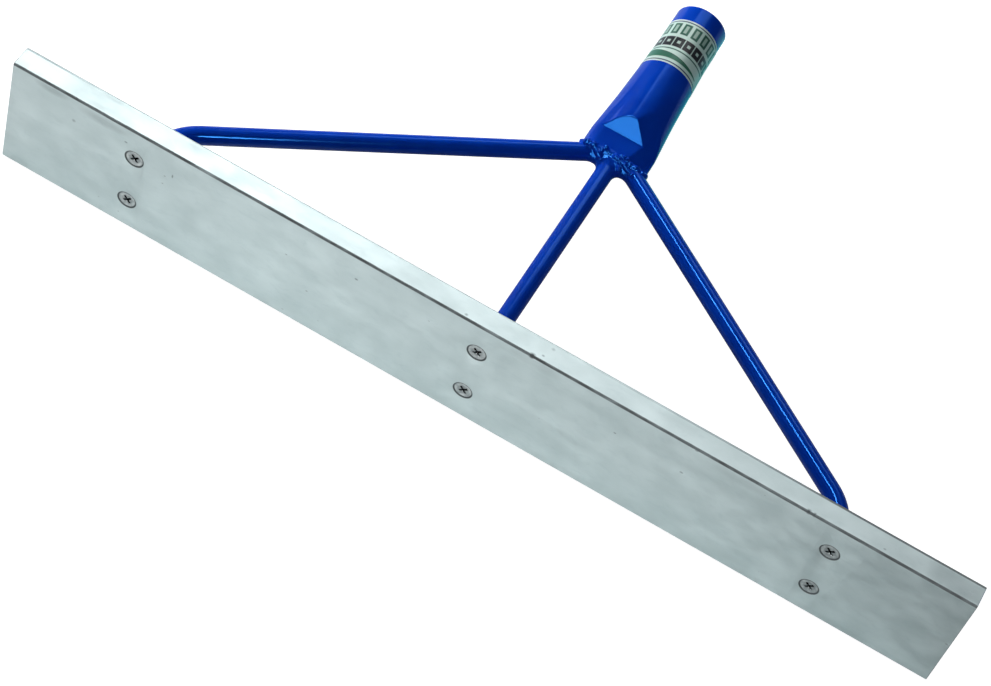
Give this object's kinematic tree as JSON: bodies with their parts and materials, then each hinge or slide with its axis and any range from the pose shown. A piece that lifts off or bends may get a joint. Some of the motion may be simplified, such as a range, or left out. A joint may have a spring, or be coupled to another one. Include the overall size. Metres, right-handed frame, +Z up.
{
  "type": "asphalt rake",
  "caption": "Long solid spreading blade, screwed through foot plates to welded bent bar struts that carry a tubular socket for a long handle.",
  "frame": {"origin": "middle of the underside of the standing rake's bounding box", "axes": "+X along the blade to the right as seen from in front of its face, +Y from the blade's face towards the handle socket, +Z up"},
  "size_m": [0.8, 0.4088, 0.1113],
  "materials": {
    "blade_aluminium": "brushed extruded bar, lightly scuffed",
    "blue_enamel": "gloss enamel on steel",
    "zinc_steel": "bright zinc plating",
    "ring_nylon": "plain nylon",
    "sticker_film": "printed film with a satin face"
  },
  "bodies": {
    "root": {"blade": "blade_aluminium", "left_foot_plate": "blue_enamel", "middle_foot_plate": "blue_enamel", "right_foot_plate": "blue_enamel", "left_strut": "blue_enamel", "middle_strut": "blue_enamel", "right_strut": "blue_enamel", "handle_socket": "blue_enamel", "socket_band": "sticker_film", "left_foot_weld": "blue_enamel", "middle_foot_weld": "blue_enamel", "right_foot_weld": "blue_enamel", "left_socket_weld": "blue_enamel", "middle_socket_weld": "blue_enamel", "right_socket_weld": "blue_enamel", "blade_screws": "zinc_steel", "washers": "zinc_steel", "lock_nuts": "zinc_steel", "nut_rings": "ring_nylon"}
  },
  "joints": []
}
